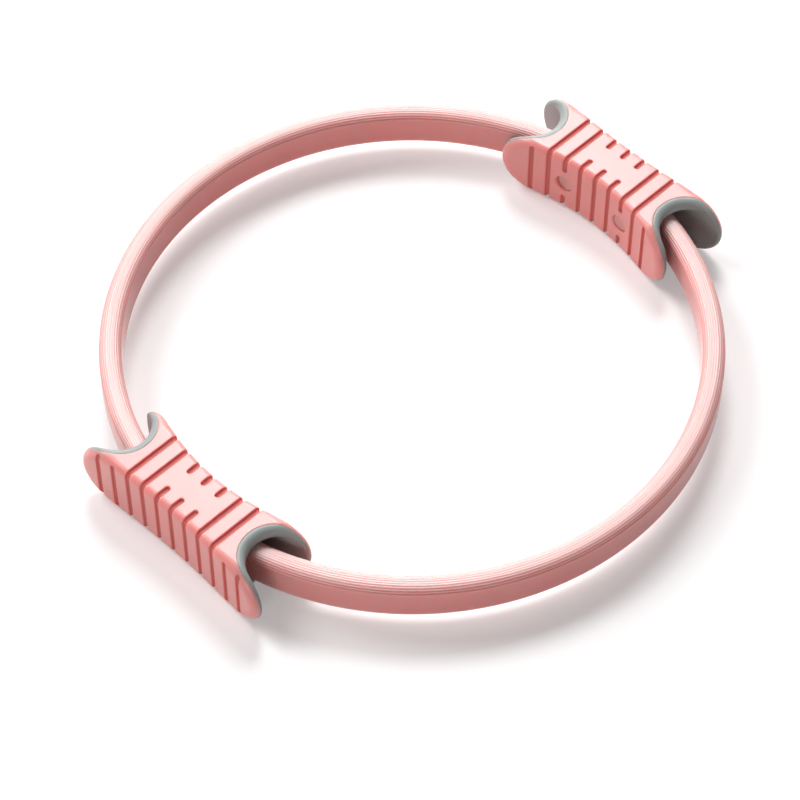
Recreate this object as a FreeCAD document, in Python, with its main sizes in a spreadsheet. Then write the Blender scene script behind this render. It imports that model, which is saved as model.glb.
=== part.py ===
import FreeCAD, Part
import math
import os
import re

import Sketcher

Vector = FreeCAD.Vector

# Driving dimensions in millimetres and degrees. The hoop's axis is Z, the grips sit on +X and -X,
# and Z = 0 is the floor under the grips. "Outer" is away from the hoop's axis, "inner" towards it.
SIZES = [
    ("hoop_mid_radius", 176, "middle of the hoop's section to the hoop's axis"),
    ("band_thickness", 5, "spring band, radial"),
    ("band_height", 18, "spring band, axial"),
    ("band_end_gap", 12, "between the two bands' ends inside a grip"),
    ("band_hole", 4.4, "screw hole in the band, diameter"),
    ("sleeve_thickness", 13.5, "sleeve section, radial"),
    ("sleeve_height", 26, "sleeve section, axial"),
    ("sleeve_bevel", 4, "bevel of the sleeve's four edges, radial"),
    ("sleeve_bevel_height", 4.4, "bevel of the sleeve's four edges, axial"),
    ("sleeve_fit", 0.15, "gap between sleeve and band"),
    ("sleeve_end_gap", 0.5, "sleeve end to the wall that it stops at"),
    ("grip_height", 43, "grip, axial"),
    ("outer_waist", 14.05, "hoop's middle to the grip's outer side, at the waist"),
    ("outer_shoulder", 15.15, "the same, where the outer tongues start to spread"),
    ("outer_spread", 19.1, "the same, at the tips of the outer tongues"),
    ("outer_tip", 73.5, "middle of the grip to the tip of an outer tongue"),
    ("inner_waist", 20.45, "hoop's middle to the grip's inner side, at the waist"),
    ("inner_shoulder", 24.15, "the same, where the inner tongues start to spread"),
    ("inner_spread", 34.3, "the same, at the tips of the inner tongues"),
    ("inner_tip", 66.1, "middle of the grip to the tip of an inner tongue"),
    ("tongue_block", 14, "thickness of a tongue before its notch is cut"),
    ("edge_bevel", 2.9, "bevel of the grip's long edges"),
    ("cover_wall", 4, "soft cover"),
    ("notch_setback", 3.2, "bottom of an end notch, inwards of the middle of an inner tongue's round end"),
    ("groove_pitch", 11.5, "between finger grooves"),
    ("groove_width", 2.6, "finger groove"),
    ("groove_depth", 1.5, "finger groove"),
    ("short_groove_outer", 3.4, "end of a short groove, outwards of the hoop's middle"),
    ("short_groove_inner", 10.4, "end of a short groove, inwards of the hoop's middle"),
    ("side_groove_margin", 2.4, "side groove's end to the tongue's edge"),
    ("plug_place", 23, "middle of the grip to a screw and its plug"),
    ("plug_diameter", 9.6, "screw plug"),
    ("plug_length", 6.4, "screw plug"),
    ("plug_recess", 1.2, "plug's face below the cover"),
    ("plug_land", 10.4, "plug's middle to the groove's end above it and below it"),
    ("fit_clearance", 0.1, "between pieces of one grip"),
    ("shell_wall", 2.6, "shell's lining in the tongues"),
    ("lip_width", 5, "shell's lip at the bottom of a notch"),
    ("lip_bevel", 2.2, "bevel of the shell's lip"),
    ("tunnel_height", 30, "hollow for the sleeve's end"),
    ("tunnel_wall", 34, "middle of the grip to the wall behind the sleeve's end"),
    ("band_clearance", 0.3, "around the band in its slot"),
    ("parting_place", 2, "joint between the two shells, inwards of the hoop's middle"),
    ("parting_gap", 0.1, "between the two shells"),
    ("screw_seat", 10, "screw head's seat, inwards of the hoop's middle"),
    ("screw_length", 17, "screw shank"),
    ("screw_diameter", 3.8, "screw shank"),
    ("screw_head", 7.4, "screw head, diameter"),
    ("screw_head_height", 2.6, "screw head"),
    ("screw_clear_hole", 4.3, "hole for the screw in the inner shell"),
    ("screw_pilot_hole", 3.9, "hole for the screw in the outer shell"),
    ("pilot_spare", 1, "hole's bottom past the screw's tip"),
]
FULL_GROOVES = (-3, 3)
PLUG_GROOVES = (-2, 2)
SHORT_GROOVES = (-1, 0, 1)
OUTER_SIDE_GROOVES = (-5, -4, 4, 5)
INNER_SIDE_GROOVES = (-4, 4)
NEAR = 0.01

doc = FreeCAD.newDocument("pilates_ring")
dims = doc.addObject("Spreadsheet::Sheet", "dims")
for row, (alias, number, note) in enumerate(SIZES, start=1):
    dims.set("A%d" % row, alias)
    dims.set("B%d" % row, str(number))
    dims.set("C%d" % row, note)
    dims.setAlias("B%d" % row, alias)
doc.recompute()
ALIASES = {alias for alias, number, note in SIZES}

MID_HEIGHT = "grip_height / 2"
SHELL_WALL = "(cover_wall + fit_clearance)"
LINING_WALL = "(cover_wall + fit_clearance + shell_wall)"
NO_WALL = "0 * cover_wall"
# Each side of the grip is hollow in flat faces that meet in the first and the third groove: a flat waist,
# a face that slopes to the shoulder, and a tongue that spreads further. Slopes are sideways per length.
WAIST_END = "groove_pitch"
SHOULDER = "(3 * groove_pitch)"
SIDES = {"outer": 1, "inner": -1}
ENDS = {"high": 1, "low": -1}


def ref(formula):
    # turns "cover_wall + 1" into an expression on the sheet's cells
    return re.sub(r"[a-z_]+", lambda word: "dims." + word[0] if word[0] in ALIASES else word[0], formula)


def value(formula):
    return float(dims.evalExpression(ref(formula)))


def slopes(side):
    # each slope with its length factor, for the face up to the shoulder and for the tongue
    rise = "((%s_shoulder - %s_waist) / (%s - %s))" % (side, side, SHOULDER, WAIST_END)
    spread = "((%s_spread - %s_shoulder) / (%s_tip - %s))" % (side, side, side, SHOULDER)
    return [(slope, "sqrt(1 + %s^2)" % slope) for slope in (rise, spread)]


def side_x(side, out):
    return "(hoop_mid_radius + %d * (%s))" % (SIDES[side], out)


def waist_corner(side, wall):
    slope, length = slopes(side)[0]
    along = "(%s + %s * (%s - 1) / %s)" % (WAIST_END, wall, length, slope)
    return along, "%s_waist - %s" % (side, wall)


def shoulder_corner(side, wall):
    (rise, rise_length), (spread, spread_length) = slopes(side)
    past = "(%s * (%s - %s) / (%s - %s))" % (wall, spread_length, rise_length, spread, rise)
    along = "(%s + %s)" % (SHOULDER, past)
    return along, "%s_shoulder + %s * %s - %s * %s" % (side, rise, past, wall, rise_length)


def tongue_out(side, wall, along):
    # how far out a tongue's side lies at a distance from the grip's middle
    slope, length = slopes(side)[1]
    return "%s_shoulder + %s * ((%s) - %s) - %s * %s" % (side, slope, along, SHOULDER, wall, length)


def tongue_line(side, wall, along):
    return side_x(side, tongue_out(side, wall, along))


def tongue_centre(side, wall, deeper="0"):
    # middle of a tongue's round end, on its side or deeper in the grip
    slope, length = slopes(side)[1]
    along = "(%s_tip + ((%s + %s) * %s - grip_height / 2) / %s)" % (side, wall, deeper, slope, length)
    return along, tongue_out(side, "(%s + %s)" % (wall, deeper), along)


NOTCH_BOTTOM = "(%s - notch_setback)" % tongue_centre("inner", NO_WALL)[0]
LIP_BOTTOM = "(%s + lip_width)" % NOTCH_BOTTOM
# Cutting shapes reach as far past the grip as its longest tongue is long
CUT_REACH = "outer_tip"
NOTCH_REACH = "(%s + outer_tip)" % NOTCH_BOTTOM
TUNNEL_REACH = "(tunnel_wall + %s)" % NOTCH_BOTTOM


# Sketch helpers

def add_sketch(body, name, role, lift=None):
    plane = [feature for feature in body.Origin.OriginFeatures if feature.Role == role][0]
    sketch = body.newObject("Sketcher::SketchObject", name)
    sketch.AttachmentSupport = [(plane, "")]
    sketch.MapMode = "FlatFace"
    if lift:
        sketch.setExpression("AttachmentOffset.Base.z", ref(lift))
        doc.recompute()
    return sketch


def bind(sketch, name, formula, *constraint):
    start = value(formula)
    if constraint[0] == "Angle":
        start = math.radians(start)
    index = sketch.addConstraint(Sketcher.Constraint(*constraint, start))
    sketch.renameConstraint(index, name)
    sketch.setExpression("Constraints." + name, ref(formula))


def bind_point(sketch, name, geometry, end, x=None, y=None):
    # fixes a point's distance from the sketch's origin, on either side of it
    for kind, formula in (("DistanceX", x), ("DistanceY", y)):
        if formula is None:
            continue
        if value(formula) == 0:
            axis = -2 if kind == "DistanceX" else -1
            sketch.addConstraint(Sketcher.Constraint("PointOnObject", geometry, end, axis))
        elif value(formula) > 0:
            bind(sketch, name + "_" + kind, formula, kind, -1, 1, geometry, end)
        else:
            bind(sketch, name + "_" + kind, "-(%s)" % formula, kind, geometry, end, -1, 1)


def join(sketch, first, first_end, second, second_end):
    sketch.addConstraint(Sketcher.Constraint("Coincident", first, first_end, second, second_end))


def add_line(sketch, start, end):
    return sketch.addGeometry(Part.LineSegment(Vector(*start, 0), Vector(*end, 0)))


def add_arc(sketch, centre, radius, start, end):
    circle = Part.Circle(Vector(*centre, 0), Vector(0, 0, 1), radius)
    return sketch.addGeometry(Part.ArcOfCircle(circle, start, end))


def polygon(sketch, name, points):
    # closed outline of straight lines whose corners are formulas
    places = [(value(x), value(y)) for x, y in points]
    lines = [add_line(sketch, places[i - 1], places[i]) for i in range(len(places))]
    for i in range(len(lines)):
        join(sketch, lines[i - 1], 2, lines[i], 1)
        bind_point(sketch, "%s%d" % (name, i), lines[i], 2, *points[i])


def rectangle(sketch, name, left, right, low, high):
    polygon(sketch, name, [(left, low), (right, low), (right, high), (left, high)])


def circle(sketch, name, x, y, diameter):
    centre = Vector(value(x), value(y), 0)
    ring = sketch.addGeometry(Part.Circle(centre, Vector(0, 0, 1), value(diameter) / 2))
    bind_point(sketch, name, ring, 3, x, y)
    bind(sketch, name + "_bore", diameter, "Diameter", ring)


def both_ends(points_of):
    # closed outline from the outer side's points and the inner side's, at the high end and then the low end
    outline = []
    for end, order in (("high", ("outer", "inner")), ("low", ("inner", "outer"))):
        for turn, side in enumerate(order):
            points = points_of(side)
            for along, out in (points[::-1] if turn else points):
                outline.append((side_x(side, out), "%d * (%s)" % (ENDS[end], along)))
    return outline


def waist_outline(sketch, wall):
    # the grip between its round tongues, seen from above; the ends stand square to each side
    polygon(sketch, "corner", both_ends(lambda side: [
        waist_corner(side, wall), shoulder_corner(side, wall), tongue_centre(side, wall),
        tongue_centre(side, wall, "(tongue_block - %s)" % wall)]))


def room_outline(sketch, wall, reach):
    # space inside a wall, seen from above, run straight on past the tongues
    polygon(sketch, "corner", both_ends(lambda side: [
        waist_corner(side, wall), shoulder_corner(side, wall), (reach, tongue_out(side, wall, reach))]))


def notch_circle(wall, bottom):
    # centre and radius of the circle that touches both tongue lines and the notch's bottom
    depth = value(bottom)
    rows = []
    for side, way in SIDES.items():
        slope, length = [value(part) for part in slopes(side)[1]]
        foot = value(tongue_line(side, wall, bottom))
        rows.append((-way / length, slope / length - 1, -way * foot / length))
    (a, b, c), (d, e, f) = rows
    radius = (a * f - d * c) / (a * e - d * b)
    return (c - b * radius) / a, depth + radius, radius


def notch_outline(sketch, end, wall, bottom, reach):
    # U-shaped notch between two tongues, open towards the grip's end
    sign = ENDS[end]
    x, y, radius = notch_circle(wall, bottom)
    lines, tips, angles = {}, {}, {}
    for side, way in SIDES.items():
        slope, length = [value(part) for part in slopes(side)[1]]
        touch = (x + way * radius / length, sign * (y - radius * slope / length))
        tips[side] = (value(tongue_line(side, wall, reach)), sign * value(reach))
        angles[side] = math.atan2(touch[1] - sign * y, touch[0] - x)
        lines[side] = add_line(sketch, touch, tips[side])
    first, last = ("inner", "outer") if sign > 0 else ("outer", "inner")
    if angles[last] < angles[first]:
        angles[last] += 2 * math.pi
    base = add_arc(sketch, (x, sign * y), radius, angles[first], angles[last])
    mouth = add_line(sketch, tips["outer"], tips["inner"])
    for position, side in enumerate((first, last), start=1):
        sketch.addConstraint(Sketcher.Constraint("Tangent", lines[side], 1, base, position))
    for position, side in enumerate(SIDES, start=1):
        name = "%s_%s" % (side, end)
        join(sketch, lines[side], 2, mouth, position)
        bind_point(sketch, name + "_tip", lines[side], 2, tongue_line(side, wall, reach),
                   "%d * (%s)" % (sign, reach))
        heading = "%d * (90 deg - %d * atan%s)" % (sign, SIDES[side], slopes(side)[1][0])
        bind(sketch, name + "_heading", heading, "Angle", lines[side])
    lowest = sketch.addGeometry(Part.Point(Vector(x, sign * (y - radius), 0)), True)
    sketch.addConstraint(Sketcher.Constraint("PointOnObject", lowest, 1, base))
    sketch.addConstraint(Sketcher.Constraint("Vertical", lowest, 1, base, 3))
    bind_point(sketch, end + "_bottom", lowest, 1, y="%d * (%s)" % (sign, bottom))


# Solid helpers

def new_body(name, base=None):
    body = doc.addObject("PartDesign::Body", name)
    if base:
        body.BaseFeature = base
        doc.recompute()
    return body


def add_pad(body, sketch, length):
    pad = body.newObject("PartDesign::Pad", sketch.Name + "_pad")
    pad.Profile = sketch
    pad.setExpression("Length", ref(length))
    doc.recompute()
    return pad


def add_pocket(body, sketch, length, upward=False):
    before = body.Shape.Volume
    pocket = body.newObject("PartDesign::Pocket", sketch.Name + "_pocket")
    pocket.Profile = sketch
    pocket.Reversed = upward
    pocket.setExpression("Length", ref(length))
    doc.recompute()
    if body.Shape.Volume >= before:
        raise RuntimeError(sketch.Name + " cuts nothing")
    return pocket


def add_turn(body, sketch, kind, angle):
    # revolution or groove about the hoop's axis, half to each side of the sketch
    turn = body.newObject("PartDesign::" + kind, sketch.Name + "_turn")
    turn.Profile = sketch
    turn.ReferenceAxis = (sketch, ["V_Axis"])
    turn.Midplane = True
    turn.setExpression("Angle", ref(angle))
    doc.recompute()
    return turn


def add_bevel(body, name, size, wanted):
    feature = body.Tip
    edges = enumerate(feature.Shape.Edges, start=1)
    bevel = body.newObject("PartDesign::Chamfer", name)
    bevel.Base = (feature, ["Edge%d" % number for number, edge in edges if wanted(edge)])
    bevel.setExpression("Size", ref(size))
    doc.recompute()
    return bevel


def is_upright(edge):
    return edge.Curve.TypeId == "Part::GeomLine" and edge.BoundBox.ZLength > NEAR


def middle_of(edge):
    return edge.valueAt((edge.FirstParameter + edge.LastParameter) / 2)


def depth_in(point, side):
    # how far a point lies inside one side of the grip
    out = SIDES[side] * (point.x - value("hoop_mid_radius"))
    waist, shoulder = value(side + "_waist"), value(side + "_shoulder")
    (rise, rise_length), (spread, spread_length) = [[value(part) for part in pair] for pair in slopes(side)]
    past = abs(point.y) - value(SHOULDER)
    return max(waist - out, (shoulder + rise * past - out) / rise_length,
               (shoulder + spread * past - out) / spread_length)


def add_box(name, low, high):
    box = doc.addObject("Part::Box", name)
    for size, axis, start, end in zip(("Length", "Width", "Height"), "xyz", low, high):
        box.setExpression(size, ref("(%s) - (%s)" % (end, start)))
        box.setExpression("Placement.Base." + axis, ref(start))
    return box


def add_rod(name, place, length, diameter, yaw=None):
    # round bar from a place upwards, or level when a heading is given
    rod = doc.addObject("Part::Cylinder", name)
    if yaw is not None:
        rod.Placement = FreeCAD.Placement(Vector(), FreeCAD.Rotation(value(yaw), 90, 0))
    rod.setExpression("Radius", ref("(%s) / 2" % diameter))
    rod.setExpression("Height", ref(length))
    for axis, start in zip("xyz", place):
        rod.setExpression("Placement.Base." + axis, ref(start))
    return rod


def add_boolean(kind, name, base, tool):
    result = doc.addObject("Part::" + kind, name)
    result.Base = base
    result.Tool = tool
    result.Refine = True
    doc.recompute()
    return result


def add_group(name, pieces):
    group = doc.addObject("Part::Compound", name)
    group.Links = pieces
    doc.recompute()
    return group


def fuse_all(name, pieces):
    union = doc.addObject("Part::MultiFuse", name)
    union.Shapes = pieces
    union.Refine = True
    doc.recompute()
    return union


HALF_TURN = FreeCAD.Placement(Vector(), FreeCAD.Rotation(Vector(0, 0, 1), 180))
sub_parts = []


def hand_over(piece, label, placement=FreeCAD.Placement()):
    piece.Label = label
    piece.Placement = placement
    sub_parts.append(piece)


# Spring bands: two half hoops whose bare ends are screwed into the grips

def make_band(label, placement):
    body = new_body(label + "_body")
    section = add_sketch(body, label + "_section", "YZ_Plane")
    rectangle(section, "edge", "hoop_mid_radius - band_thickness / 2", "hoop_mid_radius + band_thickness / 2",
              MID_HEIGHT + " - band_height / 2", MID_HEIGHT + " + band_height / 2")
    add_turn(body, section, "Revolution", "180 deg - 2 * asin(band_end_gap / 2 / hoop_mid_radius)")
    holes = add_sketch(body, label + "_holes", "YZ_Plane", "-hoop_mid_radius - band_thickness")
    circle(holes, "hole", "plug_place", MID_HEIGHT, "band_hole")
    add_pocket(body, holes, "2 * (hoop_mid_radius + band_thickness)", upward=True)
    hand_over(body, label, placement)


# Sleeves: soft tubes over the bands, from one grip's mouth to the other's

def sleeve_outline():
    # flat sides, narrow top and foot, and bevels between them, as corners round the section
    half, height = "sleeve_thickness / 2", "sleeve_height / 2"
    reach = [(half, "(%s - sleeve_bevel_height)" % height), ("(%s - sleeve_bevel)" % half, height)]
    corners = [(1, 1, reach[0]), (1, 1, reach[1]), (-1, 1, reach[1]), (-1, 1, reach[0]),
               (-1, -1, reach[0]), (-1, -1, reach[1]), (1, -1, reach[1]), (1, -1, reach[0])]
    return [("hoop_mid_radius + %d * %s" % (across, out), "%s + %d * %s" % (MID_HEIGHT, up, rise))
            for across, up, (out, rise) in corners]


def make_sleeve(label, placement):
    body = new_body(label + "_body")
    section = add_sketch(body, label + "_section", "YZ_Plane")
    polygon(section, "corner", sleeve_outline())
    rectangle(section, "bore", "hoop_mid_radius - band_thickness / 2 - sleeve_fit",
              "hoop_mid_radius + band_thickness / 2 + sleeve_fit",
              MID_HEIGHT + " - band_height / 2 - sleeve_fit", MID_HEIGHT + " + band_height / 2 + sleeve_fit")
    add_turn(body, section, "Revolution",
             "180 deg - 2 * asin((tunnel_wall + sleeve_end_gap) / (hoop_mid_radius - sleeve_thickness / 2))")
    hand_over(body, label, placement)


# Soft grip cover: waisted bar with round tongues, finger grooves all round and a hollow for the shells

def make_grip_form(name, wall):
    # waisted bar with sharp edges, and a round plate for each of the four tongues
    waist = new_body(name + "_waist")
    plan = add_sketch(waist, name + "_plan", "XY_Plane", wall)
    waist_outline(plan, wall)
    add_pad(waist, plan, "grip_height - 2 * " + wall)
    pieces = [waist]
    for side, way in SIDES.items():
        along, out = tongue_centre(side, wall)
        for end, sign in ENDS.items():
            heading = "%d * atan%s" % (sign, slopes(side)[1][0])
            if way > 0:
                heading = "180 deg - " + heading
            pieces.append(add_rod("%s_%s_%s" % (name, side, end),
                                  (side_x(side, out), "%d * %s" % (sign, along), MID_HEIGHT),
                                  "tongue_block - " + wall, "grip_height - 2 * " + wall, heading))
    return fuse_all(name, pieces)


def soften(name, form, wall, bevel):
    # long edges bevelled on the side faces and round the tongues
    body = new_body(name, form)
    depth = value(wall)

    def is_side_edge(edge):
        place = middle_of(edge)
        return not is_upright(edge) and min(abs(depth_in(place, side) - depth) for side in SIDES) < NEAR

    add_bevel(body, name + "_bevel", bevel, is_side_edge)
    return body


def side_groove_reach(step, side):
    # half height of a groove that stays on the side, under the tongue's curve
    past = "max(0; %d * groove_pitch - %s_tip + grip_height / 2)" % (abs(step), side)
    return "sqrt((%s)^2 - (%s)^2) - side_groove_margin" % (MID_HEIGHT, past)


def make_groove_bars():
    bars = []
    floor, roof = "-groove_width", "grip_height + groove_width"
    inside, outside = "hoop_mid_radius - " + CUT_REACH, "hoop_mid_radius + " + CUT_REACH

    def bar(label, step, low, high, bottom, top):
        left, right = ["%d * groove_pitch %s groove_width / 2" % (step, sign) for sign in "-+"]
        bars.append(add_box(label, (low, left, bottom), (high, right, top)))

    for step in FULL_GROOVES:
        bar("full_groove", step, inside, outside, floor, roof)
    for step in SHORT_GROOVES:
        bar("short_outer_groove", step, "hoop_mid_radius + short_groove_outer", outside, floor, roof)
        bar("short_inner_groove", step, inside, "hoop_mid_radius - short_groove_inner", floor, roof)
    for step in PLUG_GROOVES:
        turn = "hoop_mid_radius - short_groove_inner"
        bar("plug_groove", step, turn, outside, floor, roof)
        bar("plug_upper_groove", step, inside, turn, MID_HEIGHT + " + plug_land", roof)
        bar("plug_lower_groove", step, inside, turn, floor, MID_HEIGHT + " - plug_land")
    sides = [(step, "outer", "hoop_mid_radius", outside) for step in OUTER_SIDE_GROOVES]
    sides += [(step, "inner", inside, "hoop_mid_radius") for step in INNER_SIDE_GROOVES]
    for step, side, low, high in sides:
        reach = side_groove_reach(step, side)
        bottom, top = ["%s %s (%s)" % (MID_HEIGHT, sign, reach) for sign in "-+"]
        bar("side_groove", step, low, high, bottom, top)
    return fuse_all("groove_bars", bars)


def make_hollow(name, wall, bottom):
    # room inside a wall, and the notches at both ends
    room = new_body(name + "_room")
    plan = add_sketch(room, name + "_room_plan", "XY_Plane", wall)
    room_outline(plan, wall, NOTCH_REACH)
    add_pad(room, plan, "grip_height - 2 * " + wall)
    pieces = [room]
    for end in ENDS:
        notch = new_body("%s_notch_%s" % (name, end))
        plan = add_sketch(notch, "%s_notch_plan_%s" % (name, end), "XY_Plane", "-" + wall)
        notch_outline(plan, end, wall, bottom, NOTCH_REACH)
        add_pad(notch, plan, "grip_height + 2 * " + wall)
        pieces.append(notch)
    return fuse_all(name, pieces)


def make_covers(form):
    soft_form = soften("soft_form", form, NO_WALL, "edge_bevel")
    lands = add_boolean("Cut", "grip_lands", soft_form, make_groove_bars())
    floor_form = make_grip_form("floor_form", "groove_depth")
    floor_bevel = "edge_bevel - groove_depth * (2 - sqrt(2))"
    groove_floor = soften("groove_floor", floor_form, "groove_depth", floor_bevel)
    block = add_boolean("Fuse", "grip_block", lands, groove_floor)
    holes = [
        add_rod("plug_hole", ("hoop_mid_radius - " + CUT_REACH, "%d * plug_place" % sign, MID_HEIGHT),
                CUT_REACH + " - screw_seat", "plug_diameter + 2 * fit_clearance", "0")
        for sign in ENDS.values()]
    hollow = fuse_all("cover_openings", [make_hollow("cover_hollow", "cover_wall", NOTCH_BOTTOM)] + holes)
    for label, placement in (("right_grip_cover", FreeCAD.Placement()), ("left_grip_cover", HALF_TURN)):
        hand_over(add_boolean("Cut", label + "_cut", block, hollow), label, placement)


# Shells: two halves that clamp the band ends and line the mouths with a bevelled lip

def screw_circles(body, name, diameter):
    sketch = add_sketch(body, name, "YZ_Plane", "hoop_mid_radius - screw_seat")
    for end, sign in ENDS.items():
        circle(sketch, end, "%d * plug_place" % sign, MID_HEIGHT, diameter)
    return sketch


def is_lip_edge(edge):
    # edges round a mouth's walls, apart from the upright ones
    if is_upright(edge):
        return False
    place = middle_of(edge)
    x, y, radius = notch_circle(LINING_WALL, LIP_BOTTOM)
    at_bottom = abs(math.hypot(place.x - x, abs(place.y) - y) - radius) < NEAR and abs(place.y) < y
    at_wall = min(abs(depth_in(place, side) - value(LINING_WALL)) for side in SIDES) < NEAR
    return at_bottom or at_wall


def make_shell_block(form):
    filling = make_hollow("shell_filling", SHELL_WALL, NOTCH_BOTTOM + " + fit_clearance")
    body = new_body("shell_block", add_boolean("Common", "shell_form", form, filling))
    mouths = add_sketch(body, "mouth_plan", "XY_Plane", "-cover_wall")
    for end in ENDS:
        notch_outline(mouths, end, LINING_WALL, LIP_BOTTOM, NOTCH_REACH)
    add_pocket(body, mouths, "grip_height + 2 * cover_wall", upward=True)
    add_bevel(body, "lip_bevel", "lip_bevel", is_lip_edge)
    tunnels = add_sketch(body, "tunnel_plan", "XY_Plane", MID_HEIGHT + " - tunnel_height / 2")
    for end, sign in ENDS.items():
        corners = [("outer", "tunnel_wall"), ("outer", TUNNEL_REACH),
                   ("inner", TUNNEL_REACH), ("inner", "tunnel_wall")]
        polygon(tunnels, end, [(tongue_line(side, LINING_WALL, reach), "%d * (%s)" % (sign, reach))
                               for side, reach in corners])
    add_pocket(body, tunnels, "tunnel_height", upward=True)
    slot = add_sketch(body, "band_slot", "XZ_Plane")
    rectangle(slot, "edge", "hoop_mid_radius - band_thickness / 2 - band_clearance",
              "hoop_mid_radius + band_thickness / 2 + band_clearance",
              MID_HEIGHT + " - band_height / 2 - band_clearance",
              MID_HEIGHT + " + band_height / 2 + band_clearance")
    add_turn(body, slot, "Groove", "2 * asin((tunnel_wall + lip_width) / hoop_mid_radius)")
    add_pocket(body, screw_circles(body, "plug_room", "plug_diameter + 2 * fit_clearance"), CUT_REACH)
    clear_hole = screw_circles(body, "clear_hole", "screw_clear_hole")
    add_pocket(body, clear_hole, "screw_seat - parting_place", upward=True)
    pilot_hole = screw_circles(body, "pilot_hole", "screw_pilot_hole")
    add_pocket(body, pilot_hole, "screw_length + pilot_spare", upward=True)
    return body


def make_shells(form):
    block = make_shell_block(form)
    parting = "hoop_mid_radius - parting_place"
    low, high = "-2 * " + CUT_REACH, "2 * " + CUT_REACH
    inside = add_box("inner_half", ("hoop_mid_radius - " + CUT_REACH, low, low),
                     (parting + " - parting_gap / 2", high, high))
    outside = add_box("outer_half", (parting + " + parting_gap / 2", low, low),
                      ("hoop_mid_radius + " + CUT_REACH, high, high))
    for side, placement in (("right", FreeCAD.Placement()), ("left", HALF_TURN)):
        for name, half in (("inner", inside), ("outer", outside)):
            label = "%s_%s_shell" % (side, name)
            hand_over(add_boolean("Common", label + "_cut", block, half), label, placement)


# Screws and plugs: turned profiles along X, one pair in each grip

def add_turned(name, profile):
    # solid of revolution about a line through a screw's place, along X
    body = new_body(name)
    sketch = add_sketch(body, name + "_profile", "XZ_Plane")
    polygon(sketch, "point", profile)
    turn = body.newObject("PartDesign::Revolution", name + "_turn")
    turn.Profile = sketch
    turn.ReferenceAxis = (sketch, ["H_Axis"])
    turn.Angle = 360
    body.setExpression("Placement.Base.y", ref("plug_place"))
    body.setExpression("Placement.Base.z", ref(MID_HEIGHT))
    doc.recompute()
    return body


def make_pairs(name, piece):
    twin = doc.addObject("Part::Mirroring", name + "_twin")
    twin.Source = piece
    twin.Normal = Vector(0, 1, 0)
    doc.recompute()
    for side, placement in (("right", FreeCAD.Placement()), ("left", HALF_TURN)):
        label = "%s_%s" % (side, name)
        hand_over(add_group(label + "_group", [piece, twin]), label, placement)


def make_screws():
    seat = "hoop_mid_radius - screw_seat"
    top = seat + " - screw_head_height"
    tip = seat + " + screw_length"
    profile = [
        (top, "0"), (tip, "0"), (tip, "screw_diameter / 2"), (seat, "screw_diameter / 2"),
        (seat, "screw_head / 2"), (top, "screw_head / 2")]
    make_pairs("screws", add_turned("screw", profile))


def make_plugs():
    slope = slopes("inner")[0][0]
    face = "hoop_mid_radius - inner_shoulder + %s * (%s - plug_place) + plug_recess" % (slope, SHOULDER)
    profile = [
        (face, "0"), (face + " + plug_length", "0"), (face + " + plug_length", "plug_diameter / 2"),
        (face, "plug_diameter / 2")]
    make_pairs("plugs", add_turned("plug", profile))


grip_form = make_grip_form("grip_form", NO_WALL)
make_band("rear_band", FreeCAD.Placement())
make_band("front_band", HALF_TURN)
make_sleeve("rear_sleeve", FreeCAD.Placement())
make_sleeve("front_sleeve", HALF_TURN)
make_covers(grip_form)
make_shells(grip_form)
make_screws()
make_plugs()
doc.recompute()

# Every object has to be sound before anything is written
for item in doc.Objects:
    if "Invalid" in item.State or "Error" in item.State:
        raise RuntimeError("%s failed: %s" % (item.Name, item.State))
for piece in sub_parts:
    if piece.Shape.isNull() or not piece.Shape.isValid() or not piece.Shape.Solids:
        raise RuntimeError(piece.Label + " is not a sound solid")
os.makedirs("parts", exist_ok=True)
for piece in sub_parts:
    piece.Shape.exportStep("parts/%s.step" % piece.Label)
    print("%s: %d solid(s), %.0f mm3" % (piece.Label, len(piece.Shape.Solids), piece.Shape.Volume))
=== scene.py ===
import math

import bpy
import numpy as np
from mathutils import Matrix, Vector


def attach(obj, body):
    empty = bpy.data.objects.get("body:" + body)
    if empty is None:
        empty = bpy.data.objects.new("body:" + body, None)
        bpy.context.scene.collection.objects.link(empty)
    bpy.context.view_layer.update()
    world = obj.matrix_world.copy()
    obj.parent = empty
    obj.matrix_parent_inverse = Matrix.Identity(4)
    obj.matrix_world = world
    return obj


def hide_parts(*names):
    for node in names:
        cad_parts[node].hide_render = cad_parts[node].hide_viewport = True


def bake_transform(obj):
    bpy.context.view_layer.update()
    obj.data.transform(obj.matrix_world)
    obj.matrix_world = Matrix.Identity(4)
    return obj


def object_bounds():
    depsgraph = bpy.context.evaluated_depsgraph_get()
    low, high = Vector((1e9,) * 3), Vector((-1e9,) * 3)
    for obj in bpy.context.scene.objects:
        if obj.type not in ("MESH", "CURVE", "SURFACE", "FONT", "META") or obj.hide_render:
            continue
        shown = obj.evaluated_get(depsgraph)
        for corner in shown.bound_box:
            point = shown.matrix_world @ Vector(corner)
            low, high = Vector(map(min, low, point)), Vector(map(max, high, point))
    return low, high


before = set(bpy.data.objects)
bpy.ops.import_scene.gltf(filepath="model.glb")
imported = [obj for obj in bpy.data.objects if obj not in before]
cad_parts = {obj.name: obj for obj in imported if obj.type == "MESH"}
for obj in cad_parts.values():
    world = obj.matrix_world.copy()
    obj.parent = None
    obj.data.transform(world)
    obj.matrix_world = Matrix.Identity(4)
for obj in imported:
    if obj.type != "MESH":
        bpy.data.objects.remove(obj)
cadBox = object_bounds()
mm = 0.001  # the shapes are worked out in millimetres
print("frame loaded:", len(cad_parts), "nodes")

# Shared places: the hoop's axis is Z, the grips lie on the X axis and stand on the floor
ringTop = cadBox[1].z / mm
hoop = {
    "radius": 176.0,  # middle of the section
    "height": ringTop / 2,  # middle of the section above the floor
}


# Mesh helpers

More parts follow.
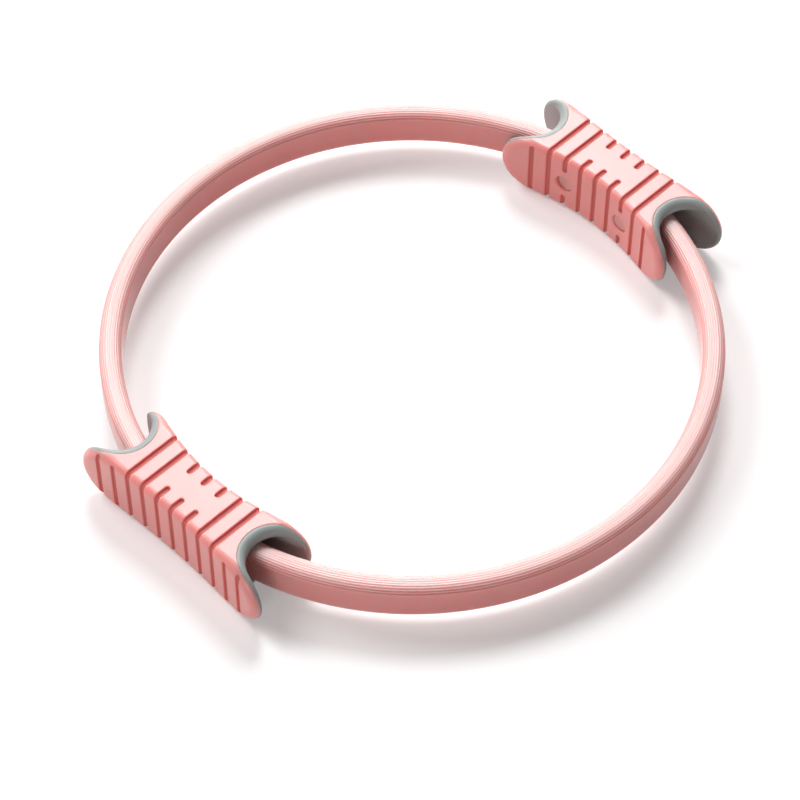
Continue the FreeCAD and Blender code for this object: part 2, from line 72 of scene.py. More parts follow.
def meshFrom(name, points, faces, **tones):
    # tones are numbers for each point, which the finishes read by name
    mesh = bpy.data.meshes.new(name)
    mesh.from_pydata((points * mm).tolist(), [], faces)
    mesh.shade_smooth()
    for toneName, tone in tones.items():
        values = mesh.attributes.new(toneName, "FLOAT", "POINT").data
        values.foreach_set("value", tone.astype(np.float32))
    mesh.validate()
    piece = bpy.data.objects.new(name, mesh)
    bpy.context.collection.objects.link(piece)
    return piece


def dress(piece, material, slotName, *nodes):
    piece.data.materials.clear()
    piece.data.materials.append(material)
    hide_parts(*nodes)


def halfTurn(points):
    return points * np.array([-1, -1, 1])


def netFromField(field, low, high, step):
    # surface nets: a point in each cell that the surface crosses, a quad round each crossed grid edge
    axes = [np.arange(a, b + s, s) for a, b, s in zip(low, high, step)]
    grid = field(*np.meshgrid(*axes, indexing="ij"))
    cells = np.array(grid.shape) - 1
    crossings, corners = [], []
    for axis in range(3):
        start = np.moveaxis(grid, axis, 0)[:-1]
        end = np.moveaxis(grid, axis, 0)[1:]
        at = np.argwhere((start < 0) != (end < 0))
        before, after = start[tuple(at.T)], end[tuple(at.T)]
        at = np.insert(at[:, 1:], axis, at[:, 0], axis=1)
        place = at.astype(float)
        place[:, axis] += before / (before - after)
        around = np.repeat(at[:, None, :], 4, axis=1)
        around[:, (1, 2), (axis + 1) % 3] -= 1
        around[:, (2, 3), (axis + 2) % 3] -= 1
        around[before > 0] = around[before > 0][:, ::-1]  # quads face outwards
        crossings.append(np.repeat(place[:, None, :], 4, axis=1).reshape(-1, 3))
        corners.append(np.ravel_multi_index(around.reshape(-1, 3).T, cells))
    crossings = np.concatenate(crossings)
    faces = np.unique(np.concatenate(corners), return_inverse=True)[1]
    count = np.bincount(faces)
    points = np.stack([np.bincount(faces, crossings[:, i]) / count for i in range(3)], axis=1)
    points = points * np.array(step) + np.array(low)
    return settle(field, points, min(step)), faces.reshape(-1, 4).tolist()


def settle(field, points, step, ways=(0, 1, 2)):
    # moves the points onto the surface along those axes, a fraction of a cell at a time
    nudge, rounds, most, flattest = 0.02, 3, 0.4 * step, 0.2
    for turn in range(rounds):
        slope = np.zeros_like(points)
        for way in ways:
            shift = nudge * np.eye(3)[way]
            slope[:, way] = (field(*(points + shift).T) - field(*(points - shift).T)) / (2 * nudge)
        move = field(*points.T) / np.maximum((slope ** 2).sum(axis=1), flattest)
        points = points - slope * np.clip(move, -most, most)[:, None]
    return points


def sharpenJoint(field, points, joint, step):
    # the net cuts the corner where a piece is parted at x = joint: those points move out to the corner
    beside = np.abs(points[:, 0] - joint) < step / 2
    beside &= np.abs(field(*points.T)) < step / 2
    corner = points[beside]
    corner[:, 0] = joint
    points[beside] = settle(field, corner, step, (1, 2))
    return points


def sweepTube(section, bore, start, end, steps):
    # a closed tube about the hoop's axis; section and bore are rows of (outwards, upwards)
    angles = np.linspace(start, end, steps)
    rings = []
    for outline in (section, bore):
        radius = hoop["radius"] + outline[:, 0]
        x = np.cos(angles)[:, None] * radius
        y = np.sin(angles)[:, None] * radius
        z = np.broadcast_to(hoop["height"] + outline[:, 1], x.shape)
        rings.append(np.stack([x, y, z], axis=2))
    count = len(section)
    index = np.arange(2 * steps * count).reshape(2, steps, count)
    ahead = np.roll(index, -1, axis=2)
    outer = np.stack([index[0, :-1], index[0, 1:], ahead[0, 1:], ahead[0, :-1]], axis=-1)
    inner = np.stack([index[1, :-1], ahead[1, :-1], ahead[1, 1:], index[1, 1:]], axis=-1)
    first = np.stack([index[0, 0], ahead[0, 0], ahead[1, 0], index[1, 0]], axis=-1)
    last = np.stack([index[0, -1], index[1, -1], ahead[1, -1], ahead[0, -1]], axis=-1)
    faces = np.concatenate([quads.reshape(-1, 4) for quads in (outer, inner, first, last)])
    return np.concatenate(rings).reshape(-1, 3), faces[:, ::-1].tolist()


# Shader helpers

class Wire:
    # a socket that sums can be written with; each sum adds its Math node
    def __init__(self, tree, socket):
        self.tree = tree
        self.socket = socket

    def sum(self, operation, first, second):
        return self.add("Math", {"operation": operation}, {0: first, 1: second})

    def __add__(self, other):
        return self.sum("ADD", self, other)

    def __radd__(self, other):
        return self.sum("ADD", other, self)

    def __sub__(self, other):
        return self.sum("SUBTRACT", self, other)

    def __rsub__(self, other):
        return self.sum("SUBTRACT", other, self)

    def __mul__(self, other):
        return self.sum("MULTIPLY", self, other)

    def __rmul__(self, other):
        return self.sum("MULTIPLY", other, self)

    def add(self, kind, settings, sockets, out=0):
        # settings are the node's own, sockets hold numbers, colours or wires
        node = self.tree.nodes.new("ShaderNode" + kind)
        for name, value in settings.items():
            setattr(node, name, value)
        for name, value in sockets.items():
            if isinstance(value, Wire):
                self.tree.links.new(value.socket, node.inputs[name])
            else:
                node.inputs[name].default_value = value
        return Wire(self.tree, node.outputs[out] if node.outputs else None)


def mixColours(wire, factor, first, second):
    return wire.add("Mix", {"data_type": "RGBA"}, {0: factor, 6: first, 7: second}, 2)


def newFinish(name):
    # an empty material; the wire that comes back is its object coordinates
    material = bpy.data.materials.new(name)
    material.use_nodes = True
    material.node_tree.nodes.clear()
    return material, Wire(material.node_tree, None).add("TexCoord", {}, {}, "Object")


def closeFinish(wire, sockets, height, strength, depth):
    bump = wire.add("Bump", {}, {"Height": height, "Strength": strength, "Distance": depth})
    surface = wire.add("BsdfPrincipled", {}, dict(sockets, Normal=bump))
    wire.add("OutputMaterial", {}, {"Surface": surface})


def noise(wire, place, scale, detail=2.0):
    return wire.add("TexNoise", {}, {"Vector": place, "Scale": scale, "Detail": detail})


def drifting(middle, wobble, span):
    # a value that wobbles about its middle, as noise does about a half
    return middle + (wobble - 0.5) * span


# Finishes

def softPink(name, look):
    # soft moulded rubber: fine stipple, slow drifts of tone, painted shade in the grooves and rib
    # valleys, painted highlight on the sleeves' ribbed edges
    material, place = newFinish(name)
    drift = noise(place, place, look["driftScale"])
    stipple = noise(place, place, look["stippleScale"])
    groove = place.add("Attribute", {"attribute_name": look["toneName"]}, {}, 2)
    tone = mixColours(place, drift, look["deepColour"], look["paleColour"])
    # painted highlight: the sleeves' edges turn paler towards the middle of their rounds, top and
    # bottom
    crown = place.add("Attribute", {"attribute_name": "crown"}, {}, 2)
    tone = mixColours(place, crown, tone, look["crownHighlightColour"])
    # painted shade: the grooves, and on the sleeves the rib valleys, are darker
    tone = mixColours(place, groove * look["grooveShadeShare"], tone, look["grooveShadeColour"])
    rough = drifting(look["roughness"], stipple, look["roughDrift"])
    closeFinish(place, {
        "Base Color": tone,
        "Roughness": rough + groove * look["grooveRough"],
        "Specular IOR Level": look["gloss"],
        "Subsurface Weight": 1.0,
        "Subsurface Scale": look["depth"],
        "Subsurface Radius": look["spread"],
        "Coat Weight": look["coat"],
        "Coat Roughness": look["coatRoughness"],
        "Sheen Weight": look["sheen"],
        "Sheen Roughness": look["sheenRoughness"],
        "Sheen Tint": look["sheenTint"],
    }, stipple, look["stippleStrength"], look["stippleDepth"])
    return material


def satinGrey(name, look):
    # moulded plastic lining: spark-eroded grain and a faint cloudiness
    material, place = newFinish(name)
    cloud = noise(place, place, look["cloudScale"], look["cloudDetail"])
    grain = noise(place, place, look["grainScale"])
    closeFinish(place, {
        "Base Color": mixColours(place, cloud, look["deepColour"], look["paleColour"]),
        "Roughness": drifting(look["roughness"], grain, look["roughDrift"]),
        "Specular IOR Level": look["gloss"],
        "Coat Weight": look["coat"],
        "Coat Roughness": look["coatRoughness"],
    }, grain, look["grainStrength"], look["grainDepth"])
    return material


def glassFibre(name, look):
    # pultruded strip: streaks that run round the hoop
    material, place = newFinish(name)
    streaks = place.add("Mapping", {}, {"Vector": place, "Scale": look["streakScale"]})
    streak = noise(place, streaks, 1.0, look["streakDetail"])
    closeFinish(place, {
        "Base Color": mixColours(place, streak, look["deepColour"], look["paleColour"]),
        "Roughness": drifting(look["roughness"], streak, look["roughDrift"]),
    }, streak, look["streakStrength"], look["streakDepth"])
    return material


def turnedSteel(name, look):
    # plated screw: fine turning marks round its axis
    material, place = newFinish(name)
    marks = place.add("TexWave", {"wave_type": "BANDS", "bands_direction": "X"},
                      {"Vector": place, "Scale": look["markScale"], "Distortion": look["markWaver"]})
    closeFinish(place, {
        "Base Color": mixColours(place, marks, look["deepColour"], look["paleColour"]),
        "Roughness": look["roughness"] + marks * look["roughDrift"],
        "Metallic": 1.0,
    }, marks, look["markStrength"], look["markDepth"])
    return material


# Grip shape. Along the grip is u, outwards from the hoop's middle line is v,
# up from the grip's middle is w.

grip = {
    "waistOut": 14.0,  # hoop's middle line to the outer side
    "waistIn": 20.3,  # and to the inner side
    "spreadOut": 19.24,  # hoop's middle line to the tips of the outer tongues
    "spreadIn": 34.73,
    "tipOut": 74.5,  # grip's middle to the tips of the outer tongues
    "tipIn": 67.1,
    "halfHeight": ringTop / 2,
    "edgeRound": 3.8,
    "tipRound": 7.5,  # the edges' rounding at the tips
    "tipRoundStart": 40.0,  # grip's middle to where it begins to grow
    "coverWall": 4.0,
    "tipWall": 0.7,  # the cover is thicker by this at the tips
    "notchBottom": 42.4,
    "notchRound": 0.3,
    "holeRound": 0.4,
    "low": (138.0, -76.5, -1.5),  # box that the net is made in
    "high": (198.0, 76.5, ringTop + 1.5),
    "step": (0.65, 0.575, 0.65),
}
grooves = {
    "pitch": 11.5,
    "shortOnes": (0, 1),  # grooves are counted from the grip's middle
    "plugOne": 2,
    "fullOne": 3,
    "outerOnes": (4, 5),  # on the sides alone
    "innerOnes": (4,),
    "halfWidth": 1.6,
    "depth": 1.5,
    "toneDepth": 0.6,  # the painted shade in the grooves is full from here down
    "toneReach": 0.3,  # and ends this far past their walls
    "floorRound": 0.6,
    "edgeRound": 0.3,
    "shortOut": 5.0,  # a short groove's round end, outwards of the middle line
    "shortIn": 12.0,
    "plugLand": 12.0,  # round end of the groove above and below a plug
    "sideMargin": 4.0,  # a side groove's round end to the tongue's edge
}
plug = {
    "place": 23.0,
    "radius": 5.7,
    "hole": 5.9,
    "recess": 1.5,
    "length": 6.1,
    "middle": 0.05,  # radius of the small face that closes each end
    "dish": 0.4,
    "dishCurve": ((2.85, 0.32), (4.6, 0.06)),  # radius and depth on the way out to the rim
    "rimRound": 0.5,
    "rimSteps": 5,
    "segments": 48,
}


def roundMax(a, b, radius):
    # where two solids overlap, with the edge between them rounded
    inside = np.minimum(np.maximum(a, b) + radius, 0)
    return inside + np.hypot(np.maximum(a + radius, 0), np.maximum(b + radius, 0)) - radius


def hollow(tip, waist, spread):
    # radius of a side that is hollow from the waist to the tips
    return tip ** 2 / (2 * (spread - waist))


hollowOut = hollow(grip["tipOut"], grip["waistOut"], grip["spreadOut"])
hollowIn = hollow(grip["tipIn"], grip["waistIn"], grip["spreadIn"])


def sideOut(u, v):
    return (v - grip["waistOut"] - u ** 2 / (2 * hollowOut)) / np.sqrt(1 + (u / hollowOut) ** 2)


def sideIn(u, v):
    return (-v - grip["waistIn"] - u ** 2 / (2 * hollowIn)) / np.sqrt(1 + (u / hollowIn) ** 2)


def sides(u, v):
    return np.maximum(sideOut(u, v), sideIn(u, v))


def roundCentre(v):
    # grip's middle to where the tongues' ends begin to round
    slope = (grip["tipOut"] - grip["tipIn"]) / (grip["spreadOut"] + grip["spreadIn"])
    return grip["tipIn"] + slope * (v + grip["spreadIn"]) - grip["halfHeight"]


def gripForm(u, v, w):
    profile = np.hypot(np.maximum(np.abs(u) - roundCentre(v), 0), w) - grip["halfHeight"]
    start = grip["tipRoundStart"]
    growth = np.clip((np.abs(u) - start) / (grip["tipIn"] - start), 0, 1)
    edge = grip["edgeRound"] + (grip["tipRound"] - grip["edgeRound"]) * growth
    return roundMax(sides(u, v), profile, edge)


def sideGrooveEnd(along, v):
    past = max(0.0, along - roundCentre(v))
    return math.sqrt(grip["halfHeight"] ** 2 - past ** 2) - grooves["sideMargin"]


def grooveDistance(u, v, w):
    # to the nearest groove's middle line; grooves end in half rounds
    along, up, pitch = np.abs(u), np.abs(w), grooves["pitch"]
    nearest = np.abs(along - grooves["fullOne"] * pitch)
    gap = np.maximum(0, np.minimum(grooves["shortOut"] - v, v + grooves["shortIn"]))
    for count in grooves["shortOnes"]:
        nearest = np.minimum(nearest, np.hypot(along - count * pitch, gap))
    gap = np.where(v < 0, np.maximum(0, grooves["plugLand"] - up), 0)
    nearest = np.minimum(nearest, np.hypot(along - grooves["plugOne"] * pitch, gap))
    sideOnes = [(count, grip["spreadOut"]) for count in grooves["outerOnes"]]
    sideOnes += [(count, -grip["spreadIn"]) for count in grooves["innerOnes"]]
    for count, spread in sideOnes:
        gap = np.maximum(0, up - sideGrooveEnd(count * pitch, spread))
        reach = np.hypot(along - count * pitch, gap)
        nearest = np.where(v * spread > 0, np.minimum(nearest, reach), nearest)
    return nearest


def grooveSlot(u, v, w, form):
    walls = grooveDistance(u, v, w) - grooves["halfWidth"]
    return roundMax(walls, -form - grooves["depth"], grooves["floorRound"])


def notchCircle(wall, bottom):
    # middle and radius of the round bottom that touches both sides' walls
    radius, rounds = grip["waistOut"], 20
    for turn in range(rounds):
        u = bottom + radius
        outer = -sideOut(u, 0.0)
        inner = -sideIn(u, 0.0)
        leanOut = 1 / math.sqrt(1 + (u / hollowOut) ** 2)
        leanIn = 1 / math.sqrt(1 + (u / hollowIn) ** 2)
        across = (outer - inner) / (leanOut + leanIn)
        radius = outer - leanOut * across - wall
    return bottom + radius, across, radius


def notch(u, v, wall, bottom, rim=0.0):
    # below zero in the U-shaped space between two tongues
    along, across, radius = notchCircle(wall, bottom)
    bowl = np.hypot(np.abs(u) - along, v - across) - radius
    return np.minimum(bowl, np.maximum(sides(u, v) + wall + rim, along - np.abs(u)))


def rimWall(u):
    # what the cover's wall gains from the notches' middles to the tips
    start = notchCircle(grip["coverWall"], grip["notchBottom"])[0]
    return grip["tipWall"] * np.clip((np.abs(u) - start) / (grip["tipIn"] - start), 0, 1)


def coverField(x, y, z):
    u, v, w = y, x - hoop["radius"], z - hoop["height"]
    form = gripForm(u, v, w)
    solid = roundMax(form, -grooveSlot(u, v, w, form), grooves["edgeRound"])
    wall = grip["coverWall"]
    rim = rimWall(u)
    room = np.maximum(sides(u, v) + wall + rim, np.abs(w) - grip["halfHeight"] + wall)
    solid = roundMax(solid, -notch(u, v, wall, grip["notchBottom"], rim), grip["notchRound"])
    hole = np.maximum(np.hypot(np.abs(u) - plug["place"], w) - plug["hole"], v)
    return np.maximum(roundMax(solid, -hole, grip["holeRound"]), -room)


def makeCovers(material):
    points, faces = netFromField(coverField, grip["low"], grip["high"], grip["step"])
    u, v, w = points[:, 1], points[:, 0] - hoop["radius"], points[:, 2] - hoop["height"]
    form = gripForm(u, v, w)
    # mask of the painted shade in the grooves: how deep a point lies in one
    groove = np.clip(-form / grooves["toneDepth"], 0, 1)
    groove *= grooveSlot(u, v, w, form) < grooves["toneReach"]
    for side, turned in (("right", points), ("left", halfTurn(points))):
        cover = meshFrom(side + "_soft_cover", turned, faces, groove=groove)
        dress(cover, material, "cover", side + "_grip_cover")
        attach(cover, side + "_grip")
    print("grip covers:", len(faces), "quads each")


# Grey shells that line the grips

shell = {
    "lap": 0.35,  # the lining's edge reaches under the cover's rim
    "drop": 0.03,  # and lies this much lower
    "wall": 2.6,  # lining in the tongues
    "lipWidth": 5.0,
    "lipRound": 4.4,  # roll at the notch's bottom
    "tongueRound": 2.4,  # roll along the tongues
    "rollEnd": 62.0,  # where the roll has thinned to that
    "tunnelHeight": 30.0,
    "tunnelWall": 34.0,
    "bandSlot": (2.8, 9.3, 5.8),  # half thickness, half height, where it starts
    "parting": -2.0,  # joint between the two halves
    "creaseAngle": 40.0,
    "screwSeat": -10.0,
    "screwHole": 2.05,
    "holeEnd": 8.0,
    "low": (140.0, -76.5, -1.5),
    "high": (196.0, 76.5, ringTop + 1.5),
    "step": 0.7,
    "spareCells": 2,  # rows of cells past the joint
}


def liningField(x, y, z):
    u, v, w = y, x - hoop["radius"], z - hoop["height"]
    along, up = np.abs(u), np.abs(w)
    outside = grip["coverWall"] - shell["lap"]
    inside = grip["coverWall"] + shell["wall"]
    rim = rimWall(u)
    room = np.maximum(sides(u, v) + outside + rim, up - grip["halfHeight"] + outside)
    filling = np.minimum(room, notch(u, v, outside, grip["notchBottom"] - shell["lap"], rim))
    solid = np.maximum(gripForm(u, v, w) + shell["drop"], filling)
    lip = grip["notchBottom"] + shell["lipWidth"]
    thin = np.clip((along - lip) / (shell["rollEnd"] - lip), 0, 1)
    roll = shell["lipRound"] + (shell["tongueRound"] - shell["lipRound"]) * thin
    solid = roundMax(solid, -notch(u, v, inside, lip), roll)
    tunnel = np.maximum(up - shell["tunnelHeight"] / 2, shell["tunnelWall"] - along)
    tunnel = np.maximum(sides(u, v) + inside, tunnel)
    thick, tall, start = shell["bandSlot"]
    ring = np.abs(np.hypot(hoop["radius"] + v, u) - hoop["radius"]) - thick
    slot = np.maximum(np.maximum(ring, up - tall), start - along)
    bore = np.hypot(along - plug["place"], w)
    plugRoom = np.maximum(bore - plug["hole"], v - shell["screwSeat"])
    screwRoom = np.maximum(bore - shell["screwHole"], v - shell["holeEnd"])
    openings = np.minimum(np.minimum(tunnel, slot), np.minimum(plugRoom, screwRoom))
    return np.maximum(solid, -openings)


def makeShells(material):
    joint = hoop["radius"] + shell["parting"]
    step, spare = shell["step"], shell["spareCells"]
    low, high = np.array(shell["low"]), np.array(shell["high"])
    for half, way in (("inner", 1), ("outer", -1)):
        def field(x, y, z):
            return np.maximum(liningField(x, y, z), way * (x - joint))
        # the joint runs through the middle of a row of cells
        cells = math.ceil((joint - low[0]) / step) if half == "inner" else spare
        start = np.array([joint - (cells + 0.5) * step, low[1], low[2]])
        end = np.array([joint + spare * step if half == "inner" else high[0], high[1], high[2]])
        points, faces = netFromField(field, start, end, (step, step, step))
        points = sharpenJoint(liningField, points, joint, step)
        for side, turned in (("right", points), ("left", halfTurn(points))):
            lining = meshFrom("%s_%s_lining" % (side, half), turned, faces)
            lining.data.set_sharp_from_angle(angle=math.radians(shell["creaseAngle"]))
            dress(lining, material, "shell", "%s_%s_shell" % (side, half))
            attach(lining, side + "_grip")
        print(half, "shells:", len(faces), "quads each")


# Screw plugs

def makePlugs(material):
    face = hoop["radius"] - grip["waistIn"] - plug["place"] ** 2 / (2 * hollowIn) + plug["recess"]
    radius, lip, middle = plug["radius"], plug["rimRound"], plug["middle"]
    profile = [(middle, plug["dish"]), *plug["dishCurve"]]
    for turn in np.linspace(0, math.pi / 2, plug["rimSteps"]):
        profile.append((radius - lip + lip * math.sin(turn), lip - lip * math.cos(turn)))
    profile += [(radius, plug["length"]), (middle, plug["length"])]
    profile = np.array(profile)
    angles = np.linspace(0, 2 * math.pi, plug["segments"], endpoint=False)
    y = np.cos(angles)[:, None] * profile[:, 0]
    z = np.sin(angles)[:, None] * profile[:, 0]
    x = np.broadcast_to(profile[:, 1], y.shape)
    disc = np.stack([face + x, y, hoop["height"] + z], axis=2).reshape(-1, 3)
    index = np.arange(len(disc)).reshape(plug["segments"], len(profile))
    ahead = np.roll(index, -1, axis=0)
    faces = np.stack([index[:, :-1], index[:, 1:], ahead[:, 1:], ahead[:, :-1]], axis=-1)
    faces = faces.reshape(-1, 4).tolist() + [index[::-1, 0].tolist(), index[:, -1].tolist()]
    faces += [[corner + len(disc) for corner in corners] for corners in faces]
    offset = np.array([0, plug["place"], 0])
    pair = np.concatenate([disc + offset, disc - offset])
    for side, turned in (("right", pair), ("left", halfTurn(pair))):
        piece = meshFrom(side + "_screw_plugs", turned, faces)
        dress(piece, material, "plug", side + "_plugs")
        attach(piece, side + "_grip")
    print("plugs done")


# Hoop: sleeves with ribbed edges over spring bands

sleeve = {
    "halfThick": 6.75,
    "halfHeight": 13.0,
    "edgeRound": 5.6,
    "ribs": 11,  # across the top edge, and across the foot
    "ribStart": 18.0,  # degrees up the rounded edge
    "ribDepth": 0.42,
    "crownFade": 0.6,  # the ribs are this much shallower in the middle of an edge
    "fadePower": 4,
    "leadPoints": 4,  # below the first rib
    "pointsPerRib": 8,
    "sidePoints": 6,
    "bore": (2.65, 9.15),
    "endPlace": 34.5,  # along the grip, where the sleeve ends inside it
    "steps": 200,
}
band = {
    "halfThick": 2.5,
    "halfHeight": 9.0,
    "cornerRound": 0.6,
    "cornerSteps": 4,
    "endPlace": 6.0,
    "core": 0.2,  # share of the section that the hollow inside takes
    "steps": 120,
}


def ribbedEdge():
    # half of the section, over the top: rows of outwards, upwards, how deep the point lies
    # in a rib's valley, and how near the crown
    thick, tall, radius = sleeve["halfThick"], sleeve["halfHeight"], sleeve["edgeRound"]
    flat = 2 * (thick - radius)
    arc = radius * math.pi / 2
    lead = radius * math.radians(sleeve["ribStart"])
    length = 2 * arc + flat
    ribbed = np.linspace(lead, length - lead, sleeve["ribs"] * sleeve["pointsPerRib"] + 1)
    plain = np.linspace(0, lead, sleeve["leadPoints"], endpoint=False)
    places = np.concatenate([plain, ribbed, length - plain[::-1]])
    rows = []
    for place in places:
        turn = np.clip(place, 0, arc) / radius + np.clip(place - arc - flat, 0, arc) / radius
        middle = thick - radius - np.clip(place - arc, 0, flat)
        wave = (place - lead) / (length - 2 * lead) * sleeve["ribs"]
        valley = 0.5 - 0.5 * math.cos(2 * math.pi * wave) if 0 <= wave <= sleeve["ribs"] else 0.0
        crown = math.sin(turn)
        valley *= 1 - sleeve["crownFade"] * crown ** sleeve["fadePower"]
        reach = radius - sleeve["ribDepth"] * valley
        outwards = middle + reach * math.cos(turn)
        upwards = tall - radius + reach * math.sin(turn)
        rows.append((outwards, upwards, valley, crown))
    return np.array(rows)


def sleeveSection():
    top = ribbedEdge()
    foot = top[::-1] * np.array([1, -1, 1, 1])
    share = np.linspace(0, 1, sleeve["sidePoints"] + 2)[1:-1, None]
    inner = top[-1] + (foot[0] - top[-1]) * share
    outer = foot[-1] + (top[0] - foot[-1]) * share
    return np.concatenate([top, inner, foot, outer])


def ontoBox(outline, halfThick, halfHeight):
    # the outline drawn in to a rectangle, point for point
    reach = np.maximum(np.abs(outline[:, 0]) / halfThick, np.abs(outline[:, 1]) / halfHeight)
    return outline / reach[:, None]


def makeHoop(sleeveMaterial, bandMaterial):
    section = sleeveSection()
    outline, valley, crown = section[:, :2], section[:, 2], section[:, 3]
    corner = band["cornerRound"]
    turns = np.linspace(0, math.pi / 2, band["cornerSteps"])
    quarter = np.stack([corner * np.cos(turns), corner * np.sin(turns)], axis=1)
    quarter += (band["halfThick"] - corner, band["halfHeight"] - corner)
    strip = np.concatenate([
        quarter, quarter[::-1] * (-1, 1), quarter * (-1, -1), quarter[::-1] * (1, -1)])
    for half, turn in (("rear", 0.0), ("front", math.pi)):
        start = math.asin(sleeve["endPlace"] / (hoop["radius"] - sleeve["halfThick"]))
        points, faces = sweepTube(outline, ontoBox(outline, *sleeve["bore"]),
                                  turn + start, turn + math.pi - start, sleeve["steps"])
        inside = np.zeros(len(points) // 2)  # the bore has no tones
        # valley and crown are the masks of the painted shade in the rib valleys and the painted
        # highlight on the edges
        tones = [np.concatenate([np.tile(tone, sleeve["steps"]), inside]) for tone in (valley, crown)]
        piece = meshFrom(half + "_ribbed_sleeve", points, faces, valley=tones[0], crown=tones[1])
        dress(piece, sleeveMaterial, "sleeve", half + "_sleeve")
        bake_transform(piece)
        start = math.asin(band["endPlace"] / hoop["radius"])
        points, faces = sweepTube(strip, strip * band["core"],
                                  turn + start, turn + math.pi - start, band["steps"])
        piece = meshFrom(half + "_spring_band", points, faces)
        dress(piece, bandMaterial, "band", half + "_band")
        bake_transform(piece)
        print(half, "half of the hoop done")


# Looks, one dictionary for each finish

coverLook = {
    "toneName": "groove",
    "deepColour": (0.85, 0.28, 0.26, 1.0),
    "paleColour": (0.89, 0.315, 0.295, 1.0),
    "crownHighlightColour": (0.94, 0.56, 0.54, 1.0),  # painted highlight: the sleeves' ribbed edges paler towards the middle of each round edge, top and bottom
    "depth": 0.007,  # light spreads this far inside, red furthest
    "spread": (1.0, 0.28, 0.22),
    # painted shade in the grooves and in the sleeves' rib valleys
    "grooveShadeColour": (0.68, 0.150, 0.133, 1.0),
    "grooveShadeShare": 1.0,
    "grooveRough": 0.55,
    "driftScale": 18.0,
    "stippleScale": 1400.0,
    "stippleStrength": 0.2,
    "stippleDepth": 0.0001,
    "roughness": 0.32,
    "roughDrift": 0.08,
    "gloss": 0.55,
    "coat": 0.1,
    "coatRoughness": 0.25,
    "sheen": 0.02,
    "sheenRoughness": 0.3,
    "sheenTint": (1.0, 0.93, 0.92, 1.0),
}
plugLook = dict(
    coverLook, grooveShadeShare=0.0,
    deepColour=(0.80, 0.31, 0.29, 1.0), paleColour=(0.84, 0.34, 0.32, 1.0))
# the sleeves' rib valleys take the painted shade at this share
sleeveLook = dict(coverLook, toneName="valley", grooveShadeShare=0.6, grooveRough=0.1, sheen=0.5)
shellLook = {
    "deepColour": (0.28, 0.315, 0.305, 1.0),
    "paleColour": (0.33, 0.365, 0.355, 1.0),
    "cloudScale": 30.0,
    "cloudDetail": 3.0,
    "grainScale": 1800.0,
    "grainStrength": 0.2,
    "grainDepth": 0.0001,
    "roughness": 0.44,
    "roughDrift": 0.12,
    "gloss": 0.45,
    "coat": 0.02,
    "coatRoughness": 0.3,
}
bandLook = {
    "deepColour": (0.05, 0.045, 0.04, 1.0),
    "paleColour": (0.12, 0.11, 0.09, 1.0),
    "streakScale": (40.0, 40.0, 1500.0),
    "streakDetail": 4.0,
    "streakStrength": 0.3,
    "streakDepth": 0.0001,
    "roughness": 0.45,
    "roughDrift": 0.15,
}
steelLook = {
    "deepColour": (0.45, 0.45, 0.46, 1.0),
    "paleColour": (0.62, 0.62, 0.63, 1.0),
    "markScale": 900.0,
    "markWaver": 2.0,
    "markStrength": 0.2,
    "markDepth": 0.00005,
    "roughness": 0.28,
    "roughDrift": 0.10,
}

makeCovers(softPink("soft_pink_cover", coverLook))
makeShells(satinGrey("satin_grey_lining", shellLook))
makePlugs(softPink("soft_pink_plug", plugLook))
makeHoop(softPink("soft_pink_sleeve", sleeveLook), glassFibre("glass_fibre_band", bandLook))
steel = turnedSteel("plated_screw", steelLook)
for side in ("left", "right"):
    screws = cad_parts[side + "_screws"]
    screws.data.materials.clear()
    screws.data.materials.append(steel)

# Stage: white floor that keeps the shadow, soft lamps, white surroundings

studio = {
    "floorSize": 3.6,
    "floorColour": (0.80, 0.80, 0.80, 1.0),
    "floorRoughness": 0.9,
    "floorLift": 0.26,  # where the floor is seen, it shows white
    "fadeStart": 0.32,  # from the ring's axis to where the seen floor starts to turn plain white
    "fadeEnd": 0.70,
    "fill": 0.12,
    "white": (1.0, 1.0, 1.0, 1.0),
}
lamps = {  # azimuth in degrees from +X; the camera looks from 225
    "key": {"power": 215.0, "size": 2.2, "distance": 6.0, "azimuth": 46.0, "elevation": 52.0},
    "left": {"power": 90.0, "size": 2.0, "distance": 4.0, "azimuth": 102.0, "elevation": 45.0},
    "back": {"power": 90.0, "size": 3.0, "distance": 4.0, "azimuth": 45.0, "elevation": 18.0},
    "front": {"power": 18.0, "size": 1.2, "distance": 3.0, "azimuth": 204.0, "elevation": 16.0},
}
view = {
    "elevation": 51.694,
    "azimuth": 224.77,
    "distance": 1.7241,
    "lens": 132.3,
    "sensor": 36.0,
    "right": 0.00690,  # ring's middle from the picture's middle
    "up": 0.03285,
}


def direction(azimuth, elevation):
    turn, rise = math.radians(azimuth), math.radians(elevation)
    return Vector((math.cos(turn) * math.cos(rise), math.sin(turn) * math.cos(rise), math.sin(rise)))


def seenRays(wire):
    # 1 for rays that show the background: straight from the camera, mirrored or through glass
    kinds = ("Camera", "Glossy", "Transmission")
    paths = [wire.add("LightPath", {}, {}, "Is %s Ray" % kind) for kind in kinds]
    return paths[0] + paths[1] + paths[2]


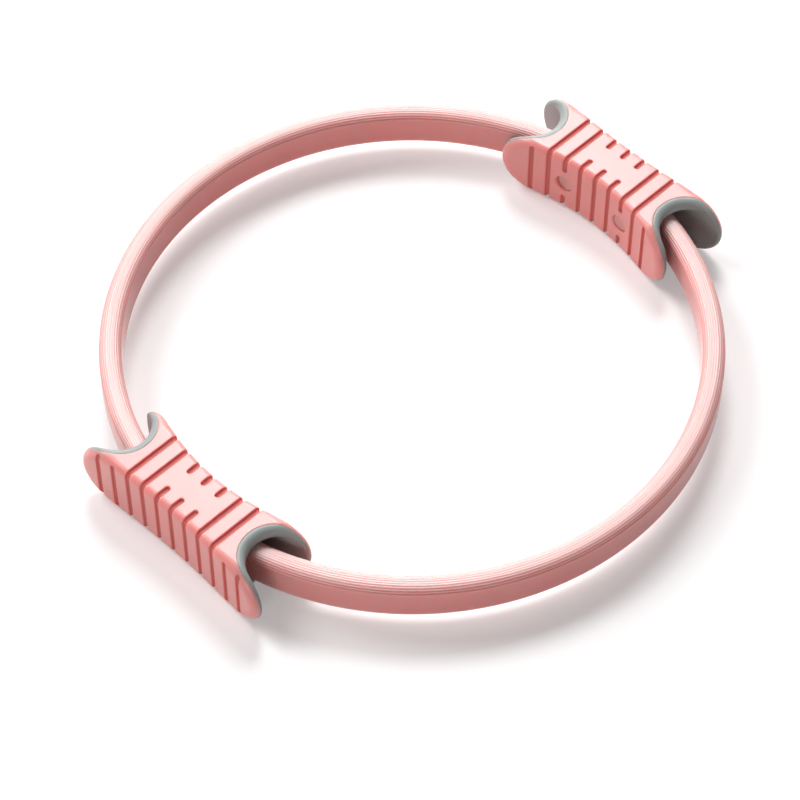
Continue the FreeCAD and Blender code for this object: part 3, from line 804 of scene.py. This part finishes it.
def makeFloor():
    half = studio["floorSize"] / 2
    mesh = bpy.data.meshes.new("floor")
    corners = [(-half, -half, 0), (half, -half, 0), (half, half, 0), (-half, half, 0)]
    mesh.from_pydata(corners, [], [(0, 1, 2, 3)])
    floor = bpy.data.objects.new("floor", mesh)
    bpy.context.collection.objects.link(floor)
    material, place = newFinish("white_floor")
    sockets = {"Base Color": studio["floorColour"], "Roughness": studio["floorRoughness"]}
    plain = place.add("BsdfPrincipled", {}, sockets)
    sockets.update({"Emission Color": studio["white"], "Emission Strength": studio["floorLift"]})
    lifted = place.add("BsdfPrincipled", {}, sockets)
    seen = seenRays(place)
    surface = place.add("MixShader", {}, {0: seen, 1: plain, 2: lifted})
    away = place.add("VectorMath", {"operation": "LENGTH"}, {0: place}, "Value")
    fade = place.add("MapRange", {"interpolation_type": "SMOOTHSTEP"}, {
        "Value": away, "From Min": studio["fadeStart"], "From Max": studio["fadeEnd"]})
    white = place.add("Emission", {}, {"Color": studio["white"]})
    surface = place.add("MixShader", {}, {0: fade * seen, 1: surface, 2: white})
    place.add("OutputMaterial", {}, {"Surface": surface})
    mesh.materials.append(material)


def makeWorld():
    world = bpy.data.worlds.new("studio")
    world.use_nodes = True
    world.node_tree.nodes.clear()
    rays = Wire(world.node_tree, None)
    fill = rays.add("Background", {}, {"Color": studio["white"], "Strength": studio["fill"]})
    seen = rays.add("Background", {}, {"Color": studio["white"], "Strength": 1.0})
    surface = rays.add("MixShader", {}, {0: seenRays(rays), 1: fill, 2: seen})
    rays.add("OutputWorld", {}, {"Surface": surface})
    bpy.context.scene.world = world


def makeLamps():
    for name, setting in lamps.items():
        light = bpy.data.lights.new(name, "AREA")
        light.shape = "DISK"
        light.size = setting["size"]
        light.energy = setting["power"]
        lamp = bpy.data.objects.new(name, light)
        way = direction(setting["azimuth"], setting["elevation"])
        lamp.location = way * setting["distance"]
        lamp.rotation_euler = way.to_track_quat("Z", "Y").to_euler()
        bpy.context.collection.objects.link(lamp)


def makeCamera():
    eye = bpy.data.cameras.new("camera")
    eye.sensor_width = view["sensor"]
    eye.lens = view["lens"]
    camera = bpy.data.objects.new("camera", eye)
    way = direction(view["azimuth"], view["elevation"])
    right = Vector((0, 0, 1)).cross(way).normalized()
    up = way.cross(right)
    middle = Vector((0, 0, hoop["height"] * mm))
    camera.location = middle + way * view["distance"]
    target = middle - right * view["right"] - up * view["up"]
    camera.rotation_euler = (camera.location - target).to_track_quat("Z", "Y").to_euler()
    bpy.context.collection.objects.link(camera)
    bpy.context.scene.camera = camera


makeFloor()
makeWorld()
makeLamps()
makeCamera()
bpy.context.scene.view_settings.view_transform = "Standard"
print("stage, light and camera done")
